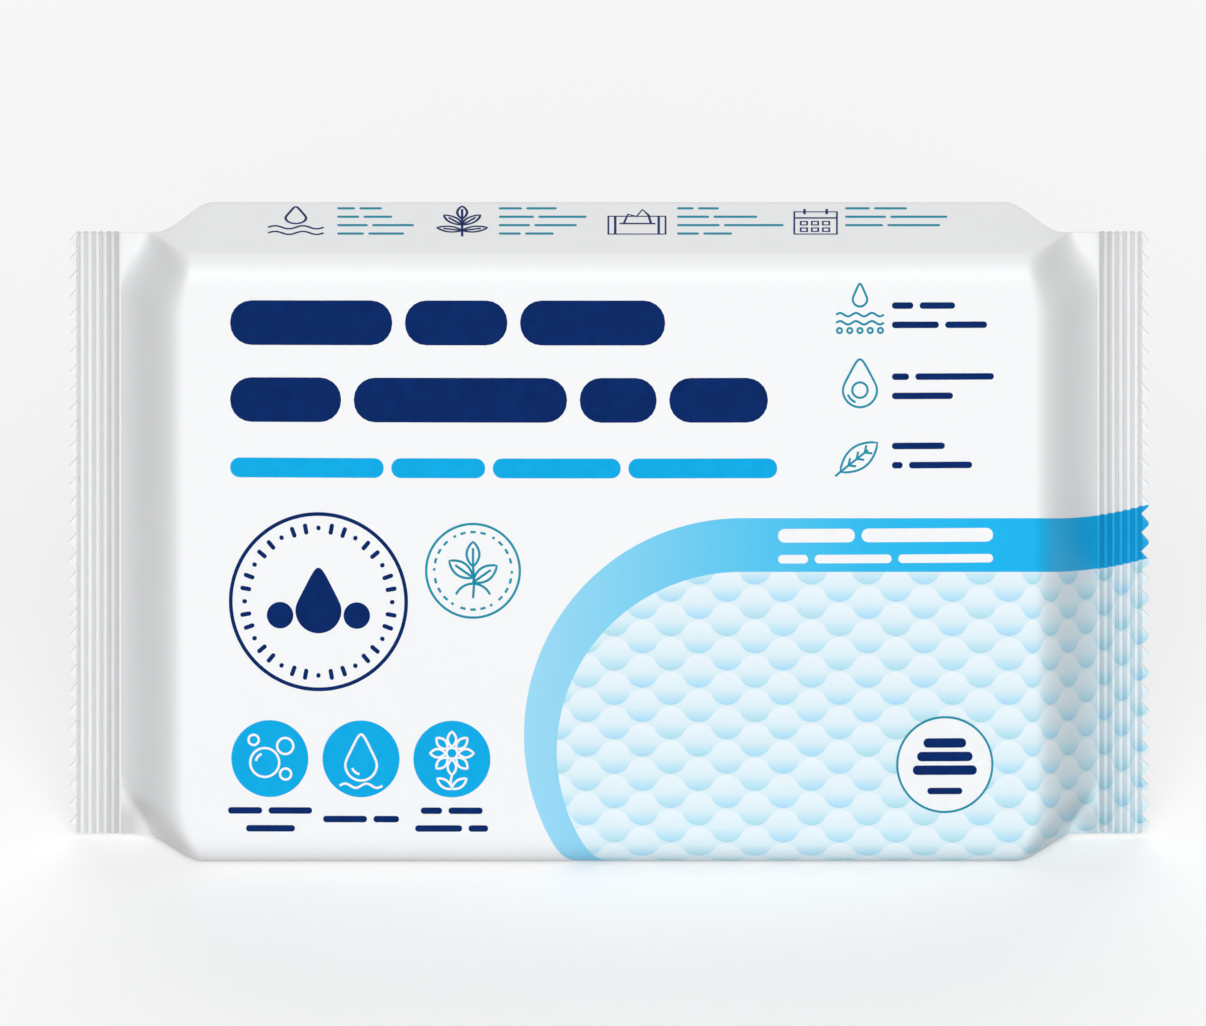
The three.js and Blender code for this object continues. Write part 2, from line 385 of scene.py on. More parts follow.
# Painted shade over the seals and the tapers beside them: brightness left by distance from the tips
# of the teeth
SEAL_PAINTED_SHADE = [(0, 0.93), (4.5, 0.93), (6.1, 0.89), (7.9, 0.87), (9.6, 0.79), (11.4, 0.77),
             (12.1, 0.91), (13, 0.94), (19, 0.95), (25, 1)]
CORNER_PAINTED_SHADE = 0.72  # brightness left by the painted shade at the front's lower corners, next to the seals
CORNER_SHADE_ALONG = [(11.9, 0), (12.1, 1), (14.5, 1), (19, 0)]  # how much of that painted shade, by distance from the tips
CORNER_SHADE_UP = (2, 10, 18)  # its middle on the print, and how far it reaches in full and at all


def print_colour(tree):
    """White film with a level stripe that turns down, round a field of shaded bubbles, under
    painted shade towards the seals.
    """
    place = add(tree, "SeparateXYZ", {0: add(tree, "UVMap", uv_map="film")})
    along, up = place.outputs[0], place.outputs[1]
    past = add(tree, "Math", {0: along, 1: STRIPE_LIFT_START}, operation="SUBTRACT")
    past = add(tree, "Math", {0: past, 1: 0}, operation="MAXIMUM")
    high = add(tree, "MapRange", {"Value": up, "From Max": STRIPE_HEIGHT,
                                  "To Max": STRIPE_LIFT})
    lift = add(tree, "Math", {0: past, 1: past}, operation="MULTIPLY")
    lift = add(tree, "Math", {0: lift, 1: high}, operation="MULTIPLY")
    level = add(tree, "Math", {0: up, 1: lift}, operation="SUBTRACT")
    before = add(tree, "Math", {0: along, 1: STRIPE_TURN}, operation="SUBTRACT")
    before = add(tree, "Math", {0: before, 1: 0}, operation="MINIMUM")
    inside = []
    for reach, rise, middle in (STRIPE_OUTER, STRIPE_INNER):
        x = add(tree, "Math", {0: before, 1: reach}, operation="DIVIDE")
        y = add(tree, "Math", {0: level, 1: middle}, operation="SUBTRACT")
        y = add(tree, "Math", {0: y, 1: rise}, operation="DIVIDE")
        radius = add(tree, "CombineXYZ", {0: x, 1: y})
        radius = add(tree, "VectorMath", {0: radius}, operation="LENGTH")
        inside.append(add(tree, "Math", {0: radius.outputs["Value"], 1: 1}, operation="LESS_THAN"))
    first, last = STRIPE_INK[0][0], STRIPE_INK[-1][0]
    share = add(tree, "MapRange", {"Value": along, "From Min": first, "From Max": last})
    stripe = add(tree, "ValToRGB", {0: share})
    ramp_stops(stripe, [((x - first) / (last - first), code) for x, code in STRIPE_INK])
    white = add(tree, "Mix", {"Factor": inside[0], "A": linear(FILM_WHITE), "B": stripe},
                data_type="RGBA")
    printed = add(tree, "Mix", {"Factor": inside[1], "A": white.outputs["Result"],
                                "B": bubble_colour(tree, along, level)}, data_type="RGBA")
    # Painted shade towards the seals darkens film and print alike
    return add(tree, "Mix", {"Factor": 1.0, "A": printed.outputs["Result"],
                             "B": painted_seal_shade(tree, along, up)}, data_type="RGBA",
               blend_type="MULTIPLY").outputs["Result"]


def painted_seal_shade(tree, along, up):
    """Painted shade over the seals and the tapers next to them, deeper in the grooves and at the
    front's lower corners.
    """
    along = add(tree, "Math", {0: along}, operation="ABSOLUTE")
    inward = add(tree, "MapRange", {"Value": along, "From Min": print_along(SEAL_TIP),
                                    "From Max": print_along(SEAL_TIP - PAINTED_SHADE_REACH),
                                    "To Max": PAINTED_SHADE_REACH})
    share = add(tree, "Math", {0: inward, 1: PAINTED_SHADE_REACH}, operation="DIVIDE")
    seal_shade = add(tree, "ValToRGB", {0: share})
    ramp_stops(seal_shade, [(place / PAINTED_SHADE_REACH, shade) for place, shade in SEAL_PAINTED_SHADE])
    # Painted shade at the lower corners next to the seals
    corner_shade = add(tree, "ValToRGB", {0: share})
    ramp_stops(corner_shade, [(place / PAINTED_SHADE_REACH, part) for place, part in CORNER_SHADE_ALONG])
    middle, full, end = CORNER_SHADE_UP
    away = add(tree, "Math", {0: up, 1: middle}, operation="SUBTRACT")
    away = add(tree, "Math", {0: away}, operation="ABSOLUTE")
    low = add(tree, "MapRange", {"Value": away, "From Min": end, "From Max": full},
              interpolation_type="SMOOTHSTEP")
    corner_shade = add(tree, "Math", {0: corner_shade, 1: low}, operation="MULTIPLY")
    corner_shade = add(tree, "MapRange", {"Value": corner_shade, "To Min": 1, "To Max": CORNER_PAINTED_SHADE})
    seal_shade = add(tree, "Mix", {"Factor": 1.0, "A": seal_shade, "B": corner_shade}, data_type="RGBA",
               blend_type="MULTIPLY").outputs["Result"]
    # Painted shade in the crimp's grooves
    turn = add(tree, "Math", {0: inward, 1: FIRST_GROOVE}, operation="SUBTRACT")
    turn = add(tree, "Math", {0: turn, 1: 2 * math.pi / GROOVE_PITCH}, operation="MULTIPLY")
    groove = add(tree, "Math", {0: turn}, operation="COSINE")
    groove = add(tree, "MapRange", {"Value": groove, "From Min": GROOVE_SHADE[0],
                                    "From Max": GROOVE_SHADE[1], "To Min": 1,
                                    "To Max": GROOVE_PAINTED_SHADE},
                 interpolation_type="SMOOTHSTEP")
    middle = FIRST_GROOVE + (GROOVE_COUNT - 1) / 2 * GROOVE_PITCH
    crimped = add(tree, "Math", {0: inward, 1: middle, 2: GROOVE_COUNT / 2 * GROOVE_PITCH},
                  operation="COMPARE")
    return add(tree, "Mix", {"Factor": crimped, "A": seal_shade, "B": groove},
               data_type="RGBA", blend_type="MULTIPLY").outputs["Result"]


def bubble_colour(tree, along, up):
    """Round bubbles that just touch, in columns half a row apart, each darker at its foot."""
    drawn_up = add(tree, "Math", {0: up, 1: 1 / PRINT_RISE}, operation="MULTIPLY")
    place = add(tree, "CombineXYZ", {0: along, 1: drawn_up})
    place = add(tree, "VectorMath", {0: place, 1: (*BUBBLE_START, 0)}, operation="SUBTRACT")
    cell = (2 * BUBBLE_COLUMNS, BUBBLE_ROWS, 1)
    place = add(tree, "VectorMath", {0: place, 1: cell}, operation="DIVIDE")
    found = []
    for shift in (0.5, 0):
        moved = add(tree, "VectorMath", {0: place, 1: (shift, shift, 0)}, operation="ADD")
        spot = add(tree, "VectorMath", {0: moved}, operation="FRACTION")
        spot = add(tree, "VectorMath", {0: spot, 1: (0.5, 0.5, 0)}, operation="SUBTRACT")
        spot = add(tree, "VectorMath", {0: spot, 1: cell}, operation="MULTIPLY")
        far = add(tree, "VectorMath", {0: spot, 1: (1, 1, 0)}, operation="MULTIPLY")
        far = add(tree, "VectorMath", {0: far}, operation="LENGTH")
        number = add(tree, "VectorMath", {0: moved}, operation="FLOOR")
        number = add(tree, "VectorMath", {0: number, 1: (shift, shift, 0)}, operation="SUBTRACT")
        found.append((spot, far.outputs["Value"], number))
    (spot_a, far_a, number_a), (spot_b, far_b, number_b) = found
    nearer = add(tree, "Math", {0: far_b, 1: far_a}, operation="LESS_THAN")
    spot = add(tree, "Mix", {"Factor": nearer, "A": spot_a, "B": spot_b}, data_type="VECTOR")
    number = add(tree, "Mix", {"Factor": nearer, "A": number_a, "B": number_b}, data_type="VECTOR")
    far = add(tree, "Math", {0: far_a, 1: far_b}, operation="MINIMUM")
    down = add(tree, "SeparateXYZ", {0: spot.outputs["Result"]})
    down = add(tree, "MapRange", {"Value": down.outputs[1], "From Min": BUBBLE_RADIUS,
                                  "From Max": -BUBBLE_RADIUS})
    chance = add(tree, "TexWhiteNoise", {"Vector": number.outputs["Result"]},
                 noise_dimensions="3D")
    shades = []
    for foot, deep in BUBBLE_FEET:
        shade = add(tree, "ValToRGB", {0: down})
        ramp_stops(shade, [*BUBBLE_TOP, (0.84, foot), (1, deep)])
        shades.append(shade)
    bubble = add(tree, "Mix", {"Factor": chance.outputs["Value"], "A": shades[0], "B": shades[1]},
                 data_type="RGBA")
    outside = add(tree, "Math", {0: far, 1: BUBBLE_RADIUS}, operation="GREATER_THAN")
    return add(tree, "Mix", {"Factor": outside, "A": bubble.outputs["Result"],
                             "B": linear(BUBBLE_FIELD)}, data_type="RGBA").outputs["Result"]


def make_film_material():
    """Laminated polyethylene film, blown and gravure printed.

    It gives the eye a soft satin light on white, with a faint ripple where it lies slack.
    """
    material, tree = new_material("laminated_polyethylene_film")
    place = add(tree, "TexCoord")
    ripple = add(tree, "TexNoise", {"Vector": place.outputs["Object"],
                                    "Scale": 1 / (FILM_RIPPLE * MM),
                                    "Detail": 2, "Roughness": 0.45})
    grain = add(tree, "TexNoise", {"Vector": place.outputs["Object"],
                                   "Scale": 1 / (FILM_GRAIN * MM), "Detail": 1})
    bump = add(tree, "Bump", {"Height": ripple, "Strength": 0.25, "Distance": 0.25 * MM})
    bump = add(tree, "Bump", {"Height": grain, "Strength": 0.1, "Distance": 0.02 * MM,
                              "Normal": bump})
    sheen = add(tree, "MapRange", {"Value": ripple, "To Min": 0.4, "To Max": 0.5})
    # Its base colour carries painted shade towards the seals
    surface = add(tree, "BsdfPrincipled", {"Base Color": print_colour(tree), "Roughness": sheen,
                                           "IOR": 1.5, "Specular IOR Level": 0.25,
                                           "Normal": bump})
    add(tree, "OutputMaterial", {"Surface": surface})
    return material


def make_ink(name, code, deep):
    """A gravure ink, printed under the laminate: flat matt colour, a touch uneven in its depth."""
    material, tree = new_material(name)
    place = add(tree, "TexCoord")
    lay = add(tree, "TexNoise", {"Vector": place.outputs["Object"],
                                 "Scale": 1 / (INK_MOTTLE * MM), "Detail": 3})
    tone = add(tree, "ValToRGB", {0: lay})
    ramp_stops(tone, [(0.3, deep), (0.7, code)])
    surface = add(tree, "BsdfPrincipled", {"Base Color": tone, "Roughness": 0.5, "IOR": 1.5,
                                           "Specular IOR Level": 0.03})
    add(tree, "OutputMaterial", {"Surface": surface})
    return material


# The print that lies on the film as pieces of its own

def start_print(name):
    """An empty piece in edit mode, for shapes to be added to, drawn flat in X and Y."""
    bpy.ops.object.select_all(action="DESELECT")
    mesh = bpy.data.meshes.new(name)
    piece = bpy.data.objects.new(name, mesh)
    bpy.context.scene.collection.objects.link(piece)
    bpy.context.view_layer.objects.active = piece
    piece.select_set(True)
    bpy.ops.object.mode_set(mode="EDIT")
    return piece


BAR_ROUNDING = 0.48  # share of a bar's height that each of its corners is rounded by
DROP_WAIST = 0.35  # how much narrower than its disc a drop is towards its point


def disc(x, y, radius, sides=48):
    bpy.ops.mesh.primitive_circle_add(vertices=sides, radius=radius, fill_type="NGON",
                                      location=(x, y, 0))


def ring(x, y, radius, width, sides=96):
    """A ring of that outer radius: a disc, inset by the line's width, without its middle."""
    disc(x, y, radius, sides)
    bpy.ops.mesh.inset(thickness=width)
    bpy.ops.mesh.delete(type="FACE")


def bar(x, y, width, height, turn=0):
    """A bar with round ends, as a word stands in a line."""
    bpy.ops.mesh.primitive_plane_add(size=1, location=(x, y, 0))
    bpy.ops.transform.resize(value=(width, height, 1), center_override=(x, y, 0))
    bpy.ops.mesh.bevel(offset=min(width, height) * BAR_ROUNDING, segments=5,
                       affect="VERTICES")
    if turn:
        bpy.ops.transform.rotate(value=-turn, orient_axis="Z", center_override=(x, y, 0))


def draw_words(*rows):
    """Lines of bars, each given by its left end, its middle, the bars' height, gap and widths."""
    for left, y, height, gap, widths in rows:
        for width in widths:
            bar(left + width / 2, y, width, height)
            left += width + gap


def drop(x, y, radius, height, sides=48):
    """A drop: a disc whose upper half is drawn up to a point that far above its middle."""
    disc(x, y, radius, sides)
    mesh = bmesh.from_edit_mesh(bpy.context.active_object.data)
    for vertex in mesh.verts:
        up = (vertex.co.y - y) / radius
        if vertex.select and up > 0:
            vertex.co.y += (height - radius) * up ** 3
            vertex.co.x = x + (vertex.co.x - x) * (1 - DROP_WAIST * up ** 2)
    bmesh.update_edit_mesh(bpy.context.active_object.data)


def circle_line(x, y, radius, start=0, end=360, steps=32):
    turns = [math.radians(start + (end - start) * i / steps) for i in range(steps + 1)]
    return [(x + radius * math.cos(t), y + radius * math.sin(t)) for t in turns]


def drop_line(x, y, radius, height, steps=36):
    """The outline of a drop, from its point round to its point."""
    outline = []
    for dx, dy in circle_line(0, 0, 1, 90, 450, steps):
        up = max(dy, 0)
        outline.append((x + radius * dx * (1 - DROP_WAIST * up ** 2),
                        y + radius * dy + (height - radius) * up ** 3))
    return outline


def leaf_line(x, y, length, width, turn, steps=12):
    """A leaf's outline from its foot, with a midrib, as two lines."""
    c, s = math.cos(math.radians(turn)), math.sin(math.radians(turn))
    edge = [(i / steps, math.sin(math.pi * i / steps) ** 0.8) for i in range(steps + 1)]
    outline = [(length * a, width / 2 * b) for a, b in edge]
    outline += [(length * a, -width / 2 * b) for a, b in reversed(edge[:-1])]
    midrib = [(0, 0), (length * 0.75, 0)]
    return [[(x + px * c - py * s, y + px * s + py * c) for px, py in part]
            for part in (outline, midrib)]


def box_line(left, low, width, height):
    return [(left, low), (left + width, low), (left + width, low + height), (left, low + height),
            (left, low)]


def wave_line(left, y, width, height, waves, steps=36):
    return [(left + width * i / steps, y + height / 2 * math.sin(2 * math.pi * waves * i / steps))
            for i in range(steps + 1)]


def lines(name, strokes, width):
    """Round-ended printed lines as one flat mesh. Each stroke is a list of points."""
    curve = bpy.data.curves.new(name, "CURVE")
    curve.dimensions = "3D"
    curve.bevel_depth = width / 2
    curve.bevel_resolution = 1
    curve.use_fill_caps = True
    for points in strokes:
        closed = math.dist(points[0], points[-1]) < 1e-6
        points = points[:-1] if closed else points
        spline = curve.splines.new("POLY")
        spline.points.add(len(points) - 1)
        spline.use_cyclic_u = closed
        for point, (x, y) in zip(spline.points, points):
            point.co = (x, y, 0, 1)
    drawn = bpy.data.objects.new(name, curve)
    bpy.context.scene.collection.objects.link(drawn)
    bpy.ops.object.select_all(action="DESELECT")
    drawn.select_set(True)
    bpy.context.view_layer.objects.active = drawn
    bpy.ops.object.convert(target="MESH")
    for vertex in drawn.data.vertices:
        vertex.co.z *= INK_HEIGHT / width
    return drawn


BISECT_STEP = 9  # filled shapes are cut this often, so that they can follow the film


def thicken(piece):
    """Gives filled shapes the height of a layer of ink, and edges often enough to bend."""
    bpy.ops.object.mode_set(mode="EDIT")
    for axis, reach in ((0, SEAL_TIP), (1, PACK_HEIGHT)):
        at = -reach
        while at < reach:
            bpy.ops.mesh.select_all(action="SELECT")
            normal = (1, 0, 0) if axis == 0 else (0, 1, 0)
            bpy.ops.mesh.bisect(plane_co=tuple(n * at for n in normal), plane_no=normal)
            at += BISECT_STEP
    bpy.ops.object.mode_set(mode="OBJECT")
    modifier = piece.modifiers.new("ink", "SOLIDIFY")
    modifier.thickness = INK_HEIGHT
    modifier.offset = 0
    bpy.ops.object.modifier_apply(modifier=modifier.name)


def on_front(x, y, out):
    """The place on the front panel of a point drawn at x, y and lying so far outside the film."""
    z = y * PRINT_RISE
    return Vector((x, body_point(x, -HALF_DEPTH, z).y - out, z))


def on_top(x, y, out):
    """The place on the upper side of a point drawn at x, y and lying so far outside the film."""
    return Vector((x, y * TOP_PRINT_RISE, PACK_HEIGHT + out))


def lay_print(piece, material, slot, place, layer):
    """Lays what was drawn on the film and gives it its ink."""
    bpy.ops.object.select_all(action="DESELECT")
    piece.select_set(True)
    bpy.context.view_layer.objects.active = piece
    lift = INK_STEP * (layer + 0.5)
    for vertex in piece.data.vertices:
        x, y, z = vertex.co
        vertex.co = place(x, y, lift + z) * MM
    bpy.ops.object.mode_set(mode="EDIT")
    bpy.ops.mesh.select_all(action="SELECT")
    bpy.ops.mesh.normals_make_consistent(inside=False)
    bpy.ops.object.mode_set(mode="OBJECT")
    bpy.ops.object.shade_smooth_by_angle(angle=math.radians(INK_SMOOTHING))
    piece.data.materials.clear()
    piece.data.materials.append(material)
    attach(piece, "root")


# Each printed line of bars: its left end, its middle, the bars' height, their gap and widths
WORD_ROWS = {
    "title_bars": ((-88.9, 128.4, 10.4, 3, (38, 24, 34)),
                   (-88.9, 110.4, 10.4, 3, (26, 50, 18, 23.1))),
    "subtitle_bars": ((-88.9, 94.5, 4.6, 1.8, (36, 22, 30, 34.9)),),
    "disc_captions": ((-89.4, 14, 1.5, 1.5, (8, 10.2)),
                      (-85.2, 9.8, 1.5, 1.5, (11.5,)),
                      (-67.1, 12, 1.5, 1.5, (10.3, 6)),
                      (-44.2, 14, 1.5, 1.5, (5, 8)),
                      (-45.5, 9.8, 1.5, 1.5, (11, 4.6))),
    "side_notes": ((66.3, 132.4, 1.5, 1.5, (5, 8.3)),
                   (66.3, 127.9, 1.5, 1.5, (11, 9.8)),
                   (66.3, 115.8, 1.5, 1.5, (4, 18.4)),
                   (66.3, 111.3, 1.5, 1.5, (14.3,)),
                   (66.3, 99.6, 1.5, 1.5, (12.4,)),
                   (66.3, 95.1, 1.5, 1.5, (2.5, 14.8))),
    "stripe_words": ((39.6, 78.7, 3.2, 1.6, (18, 30.8)),
                     (39.6, 73.2, 2, 1.6, (7, 18, 22.2))),
}

# Round marks on the front: place of the middle and outer radius
DISC_CENTRES = (-79.6, -58.2, -36.9)
DISC_HEIGHT = 26.2
DISC_RADIUS = 9.03
EMBLEM = (-68.2, 63.1, 21)
EMBLEM_LINE = 0.85
EMBLEM_MARKS = 36  # short marks round the emblem, with every third one shorter
EMBLEM_MARK_RING = 17.3
STAMP = (-31.95, 70.5, 11.26)
STAMP_MARKS = 24
STAMP_MARK_RING = 9.1
BADGE = (78.7, 24.8, 11.4)
BADGE_LINE = 0.5

# Places of the icons beside the front's notes, and of the icons and notes on the upper side
SIDE_X = 58.8
SIDE_HEIGHTS = (131.5, 114.1, 97.2)
TOP_MIDDLE = 3
TOP_LEFTS = (-80, -41, -0.2, 43.4)
TOP_NOTE_LEFTS = (-63.8, -25.9, 15.9, 55.3)
TOP_NOTE_HEIGHTS = (8.5, 4.9, 1.3, -2.3)
TOP_NOTE_WIDTHS = ((10.5, 12.9, 18, 15.7), (13.6, 20.6, 18.3, 12.9), (9.8, 18.8, 25, 12.9),
                   (14.5, 24, 22.3))
TOP_NOTE_BAR = 0.85
TOP_NOTE_GAP = 1

# Widths of the lines that the stamp and the icons are drawn with
STAMP_LINE = 0.56
ICON_LINE = 0.52
DISC_ICON_LINE = 0.55
TOP_LINE = 0.6


def filled_piece(name, draw):
    """A piece of filled shapes. A piece of words is drawn from its rows."""
    piece = start_print(name)
    draw(*WORD_ROWS.get(name, ()))
    thicken(piece)
    return piece


def draw_emblem():
    """A ring of marks round a large drop between two bubbles."""
    x, y, radius = EMBLEM
    ring(x, y, radius, EMBLEM_LINE, 128)
    for i in range(EMBLEM_MARKS):
        turn = math.radians(360 / EMBLEM_MARKS * i)
        bar(x + EMBLEM_MARK_RING * math.cos(turn), y + EMBLEM_MARK_RING * math.sin(turn),
            2.6 if i % 3 else 1.1, 1, turn)
    drop(x, y - 2, 5.4, 10)
    disc(x - 9, y - 3.2, 3.1)
    disc(x + 9, y - 3.2, 3.1)


def draw_discs():
    for x in DISC_CENTRES:
        disc(x, DISC_HEIGHT, DISC_RADIUS, 72)


def draw_badge_disc():
    """The badge's white ground, whose edge the ring covers."""
    disc(BADGE[0], BADGE[1], BADGE[2] - 0.2, 96)


def draw_badge_ring():
    ring(*BADGE, BADGE_LINE, 96)


def draw_badge_mark():
    """A stack of three sheets over a short note."""
    x, y = BADGE[0], BADGE[1]
    for i, width in enumerate((15, 13, 10)):
        bar(x, y - 1.3 + 3.2 * i, width, 2.2)
    bar(x, y - 6.2, 8.2, 1.5)


def draw_top_notes():
    """Four notes, each of a few lines in two words."""
    for left, widths in zip(TOP_NOTE_LEFTS, TOP_NOTE_WIDTHS):
        for y, width in zip(TOP_NOTE_HEIGHTS, widths):
            pair = (width * 0.4, width * 0.6 - TOP_NOTE_GAP)
            draw_words((left, y, TOP_NOTE_BAR, TOP_NOTE_GAP, pair))


def stamp_lines():
    """A sprout in two rings, the inner one of marks."""
    x, y, radius = STAMP
    marks = []
    for i in range(STAMP_MARKS):
        turn = 360 / STAMP_MARKS * i
        marks.append(circle_line(x, y, STAMP_MARK_RING, turn - 4, turn + (4 if i % 4 else 0), 4))
    stem = [(x, y - 6.4), (x + 0.3, y - 2.5), (x, y + 1)]
    return [circle_line(x, y, radius - STAMP_LINE / 2, steps=96), stem, *marks,
            circle_line(x, y - 7.4, 4.4, 25, 155, 12),
            *leaf_line(x, y - 2.7, 6.8, 3.2, 35), *leaf_line(x, y - 1.6, 6.8, 3.2, 145),
            *leaf_line(x, y + 1, 5.8, 3, 90)]


def disc_icon_lines():
    """Bubbles, a drop and a flower in white, one on each disc."""
    (a, b, c), y = DISC_CENTRES, DISC_HEIGHT
    bubbles = [circle_line(a - 1.2, y - 0.9, 3.4), circle_line(a + 3.6, y + 3, 1.9),
               circle_line(a - 3.8, y + 4.4, 1.2), circle_line(a + 3.7, y - 3.6, 1.3),
               circle_line(a - 1.2, y - 0.9, 2.1, 110, 170, 8)]
    water = [drop_line(b, y - 1.4, 3.7, 7.2), circle_line(b, y - 1.4, 2.2, 200, 260, 8),
             wave_line(b - 5, y - 6.3, 10, 1, 2)]
    petals = []
    for turn in range(0, 360, 45):
        out = math.radians(turn)
        foot = (c + 1.5 * math.cos(out), y + 1.4 + 1.5 * math.sin(out))
        petals.append(leaf_line(*foot, 3.6, 2, turn)[0])
    stem = [(c, y - 3.7), (c - 0.3, y - 5.2), (c, y - 7)]
    flower = [circle_line(c, y + 1.4, 1.3, steps=20), *petals, stem,
              leaf_line(c, y - 7, 4.2, 1.8, 35)[0], leaf_line(c, y - 7, 4.2, 1.8, 145)[0]]
    return bubbles + water + flower


def side_icon_lines():
    """A drop over layers, a drop with a bubble in it and a leaf."""
    x = SIDE_X
    high, middle, low = SIDE_HEIGHTS
    layers = [drop_line(x, high + 2.4, 1.7, 3.6), wave_line(x - 5.6, high - 1.2, 11.2, 0.8, 3),
              wave_line(x - 5.6, high - 3.1, 11.2, 0.8, 3)]
    layers += [circle_line(x - 4.8 + 2.4 * i, high - 4.9, 0.6, steps=12) for i in range(5)]
    drop_with_bubble = [drop_line(x, middle - 1.4, 4, 7.2), circle_line(x, middle - 1.4, 1.8),
                        circle_line(x, middle - 1.4, 3, 200, 250, 8)]
    outline, midrib = leaf_line(x - 4.6, low - 3.6, 11, 5.2, 38)
    veins = []
    for i in range(1, 4):
        foot = (x - 4.6 + 1.9 * i, low - 3.6 + 1.5 * i)
        veins += [[foot, (foot[0] + 0.4, foot[1] + 1.7)], [foot, (foot[0] + 1.8, foot[1] - 0.2)]]
    leaf = [outline, midrib, *veins, [(x - 4.6, low - 3.6), (x - 5.8, low - 4.6)]]
    return layers + drop_with_bubble + leaf


def top_icon_lines():
    """Water, a sprig, a pack with its cloth and a calendar sheet."""
    a, b, c, d = TOP_LEFTS
    y = TOP_MIDDLE
    water = [drop_line(a + 6.5, y + 1.4, 2.4, 4.8), wave_line(a, y - 2.6, 13, 1.3, 2),
             wave_line(a, y - 5, 13, 1.3, 2)]
    sprig = [[(b + 6.5, y - 6.5), (b + 6.5, y + 1)]]
    for turn, length in ((90, 5.5), (45, 6), (135, 6), (12, 6), (168, 6)):
        foot = y + (1 if turn == 90 else -1.6 if turn in (45, 135) else -4)
        sprig += leaf_line(b + 6.5, foot, length, 2.3, turn)
    cloth = [(c + 3.6, y - 1), (c + 4.6, y + 3), (c + 6.6, y + 2), (c + 8, y + 5),
             (c + 9.4, y + 2.6), (c + 10, y - 1)]
    pack = [box_line(c, y - 5.5, 13.4, 7.6), [(c + 2.6, y - 1), (c + 11, y - 1)], cloth,
            [(c + 1.6, y - 5.5), (c + 1.6, y + 2.1)], [(c + 11.8, y - 5.5), (c + 11.8, y + 2.1)]]
    sheet = [box_line(d, y - 5.5, 10, 9.5), [(d, y + 1.4), (d + 10, y + 1.4)],
             [(d + 2.4, y + 3), (d + 2.4, y + 5.2)], [(d + 7.6, y + 3), (d + 7.6, y + 5.2)]]
    for i in range(6):
        sheet.append(box_line(d + 1.5 + 2.6 * (i % 3), y - 4.4 + 2.8 * (i // 3), 1.5, 1.5))
    return water + sprig + pack + sheet


def make_print(inks):
    """Every printed mark, one piece for each kind, with what lies over others further out."""
    for name, draw, ink, layer, place in (
        ("title_bars", draw_words, "print_navy", 0, on_front),
        ("subtitle_bars", draw_words, "print_sky", 0, on_front),
        ("emblem", draw_emblem, "print_navy", 0, on_front),
        ("care_discs", draw_discs, "print_sky", 0, on_front),
        ("disc_captions", draw_words, "print_navy", 0, on_front),
        ("side_notes", draw_words, "print_navy", 0, on_front),
        ("stripe_words", draw_words, "print_white", 0, on_front),
        ("badge_disc", draw_badge_disc, "print_white", 0, on_front),
        ("badge_ring", draw_badge_ring, "print_teal", 1, on_front),
        ("badge_mark", draw_badge_mark, "print_navy", 1, on_front),
        ("top_notes", draw_top_notes, "print_teal", 0, on_top),
    ):
        lay_print(filled_piece(name, draw), inks[ink], ink, place, layer)
    for name, strokes, width, ink, layer, place in (
        ("round_stamp", stamp_lines(), STAMP_LINE, "print_teal", 0, on_front),
        ("disc_icons", disc_icon_lines(), DISC_ICON_LINE, "print_white", 1, on_front),
        ("side_icons", side_icon_lines(), ICON_LINE, "print_teal", 0, on_front),
        ("top_icons", top_icon_lines(), TOP_LINE, "print_navy", 0, on_top),
    ):
        lay_print(lines(name, strokes, width), inks[ink], ink, place, layer)


# Stage, light and camera

BACKGROUND = 0.93
AMBIENT = 0.4
FLAG_DARKNESS = 1  # how much less light comes from straight left and right
FLAG_EDGES = (0.35, 0.9)  # the flags set in between these sideways shares of a direction
KEY = (24, 0.66)  # rise in degrees and strength of the light from the front
REAR = (45, 0.28)
LAMP_SOFTNESS = 40  # width in degrees of each light as the pack sees it
LAMP_DISTANCE = 2  # metres, as are the next two
CAMERA_DISTANCE = 1.5
FLOOR_SIZE = 12
FLOOR_GAP = 0.05  # millimetres that the floor lies below the pack, so that they don't share a plane
FLOOR_GLOW = 0.39  # light that the floor adds for the rays that see it as background
FLOOR_WHITE = 0.72


def background_rays(tree):
    """One for the rays that show the background: the camera's, reflected and refracted ones."""
    path = add(tree, "LightPath")
    seen = add(tree, "Math", {0: path.outputs["Is Camera Ray"], 1: path.outputs["Is Glossy Ray"]},
               operation="MAXIMUM")
    return add(tree, "Math", {0: seen, 1: path.outputs["Is Transmission Ray"]},
               operation="MAXIMUM")


def make_stage():
    """A pale matt floor that keeps the pack's soft shadow."""
    bpy.ops.object.select_all(action="DESELECT")
    bpy.ops.mesh.primitive_plane_add(size=FLOOR_SIZE, location=(0, 0, -FLOOR_GAP * MM))
    floor = bpy.context.active_object
    floor.name = "floor"
    material, tree = new_material("painted_floor")
    rays = background_rays(tree)
    matt = add(tree, "BsdfDiffuse", {"Color": (FLOOR_WHITE, FLOOR_WHITE, FLOOR_WHITE, 1)})
    glow = add(tree, "Math", {0: rays, 1: FLOOR_GLOW}, operation="MULTIPLY")
    glow = add(tree, "Emission", {"Strength": glow})
    add(tree, "OutputMaterial", {"Surface": add(tree, "AddShader", {0: matt, 1: glow})})
    floor.data.materials.append(material)


